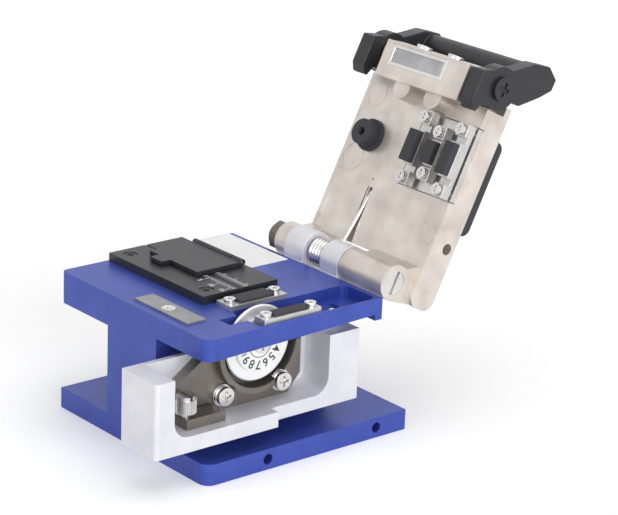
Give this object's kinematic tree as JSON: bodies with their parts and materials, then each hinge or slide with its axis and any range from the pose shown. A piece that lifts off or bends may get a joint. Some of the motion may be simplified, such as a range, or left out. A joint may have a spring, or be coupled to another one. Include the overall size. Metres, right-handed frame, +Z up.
{
  "type": "fibre cleaver",
  "caption": "Bench fibre cleaver: blue base and top plate, hinged lid with clamps, sliding carriage with a round blade, and a fibre adapter.",
  "frame": {"origin": "centre of the base plate's underside", "axes": "+X right along the fibre, towards the side with the collector holes; +Y back to the lid's hinge; +Z up"},
  "size_m": [0.0645, 0.1267, 0.0945],
  "materials": {
    "blue_anodised": "satin",
    "silver_metal": "satin",
    "lid_metal": "satin",
    "steel": "satin",
    "dark_metal": "satin",
    "black_plastic": "matte",
    "black_rubber": "matte",
    "white_dial": "matte"
  },
  "bodies": {
    "frame": {"base_plate": "blue_anodised", "base_screws": "steel", "body_frame": "blue_anodised", "magnet_strip": "steel", "strip_screw": "steel", "hinge_bracket": "silver_metal", "hinge_bracket_screws": "steel", "lower_clamp_frame_left": "silver_metal", "lower_pad_left": "black_rubber", "lower_clamp_frame_right": "silver_metal", "lower_pad_right": "black_rubber", "lower_clamp_screws": "steel", "adapter_base": "black_plastic", "adapter_screws": "steel", "adapter_cover_pin": "steel", "slide_rail": "steel", "rail_screws": "steel"},
    "lid": {"lid_casting": "lid_metal", "magnet_frame": "silver_metal", "magnet": "dark_metal", "magnet_screws": "steel", "hinge_shaft": "steel", "hinge_nut": "lid_metal", "torsion_spring": "dark_metal", "lever_pivot_screws": "black_plastic", "lid_bumper": "black_rubber", "grip_pad": "black_rubber", "upper_clamp_plate": "steel", "upper_clamp_screws": "steel"},
    "lever": {"release_lever": "black_plastic"},
    "clamp_left": {"upper_clamp_block_left": "steel", "upper_pad_left": "black_rubber"},
    "anvil": {"anvil_block": "steel", "anvil_pad": "black_rubber"},
    "clamp_right": {"upper_clamp_block_right": "steel", "upper_pad_right": "black_rubber"},
    "cover": {"adapter_cover": "black_plastic"},
    "slider": {"slider_block": "silver_metal", "slide_carriage": "steel", "carriage_screws": "steel", "blade_bracket": "dark_metal", "bracket_washers": "steel", "bracket_screws": "steel", "height_screw_foot": "dark_metal"},
    "height_knob": {"height_screw": "steel"},
    "blade": {"cutting_disc": "steel", "blade_dial": "white_dial", "blade_axle": "steel"}
  },
  "joints": [
    {"name": "lid_hinge", "type": "hinge", "parent": "frame", "child": "lid", "pos_m": [0, 0.0285, 0.0404], "axis": [1, 0, 0], "range_deg": [0, 116.6]},
    {"name": "lever_pivot", "type": "hinge", "parent": "lid", "child": "lever", "pos_m": [0, 0.05956, 0.0877], "axis": [1, 0, 0], "range_deg": [-5, 25]},
    {"name": "clamp_left_spring", "type": "slide", "parent": "lid", "child": "clamp_left", "axis": [0, 0.8942, -0.4478], "range_m": [0, 0.0008], "stiffness_N_per_m": 300},
    {"name": "anvil_spring", "type": "slide", "parent": "lid", "child": "anvil", "axis": [0, 0.8942, -0.4478], "range_m": [0, 0.0008], "stiffness_N_per_m": 300},
    {"name": "clamp_right_spring", "type": "slide", "parent": "lid", "child": "clamp_right", "axis": [0, 0.8942, -0.4478], "range_m": [0, 0.0008], "stiffness_N_per_m": 300},
    {"name": "cover_hinge", "type": "hinge", "parent": "frame", "child": "cover", "pos_m": [-0.0132, 0.0044, 0.0413], "axis": [1, 0, 0], "range_deg": [-180, 0]},
    {"name": "slider_travel", "type": "slide", "parent": "frame", "child": "slider", "axis": [0, 1, 0], "range_m": [0, 0.0148]},
    {"name": "blade_dial_spin", "type": "hinge", "parent": "slider", "child": "blade", "pos_m": [0.022, -0.0101, 0.03025], "axis": [1, 0, 0], "continuous": true},
    {"name": "height_screw_turn", "type": "hinge", "parent": "slider", "child": "height_knob", "pos_m": [0.0249, -0.0342, 0.02], "axis": [0, 0, 1], "continuous": true}
  ]
}
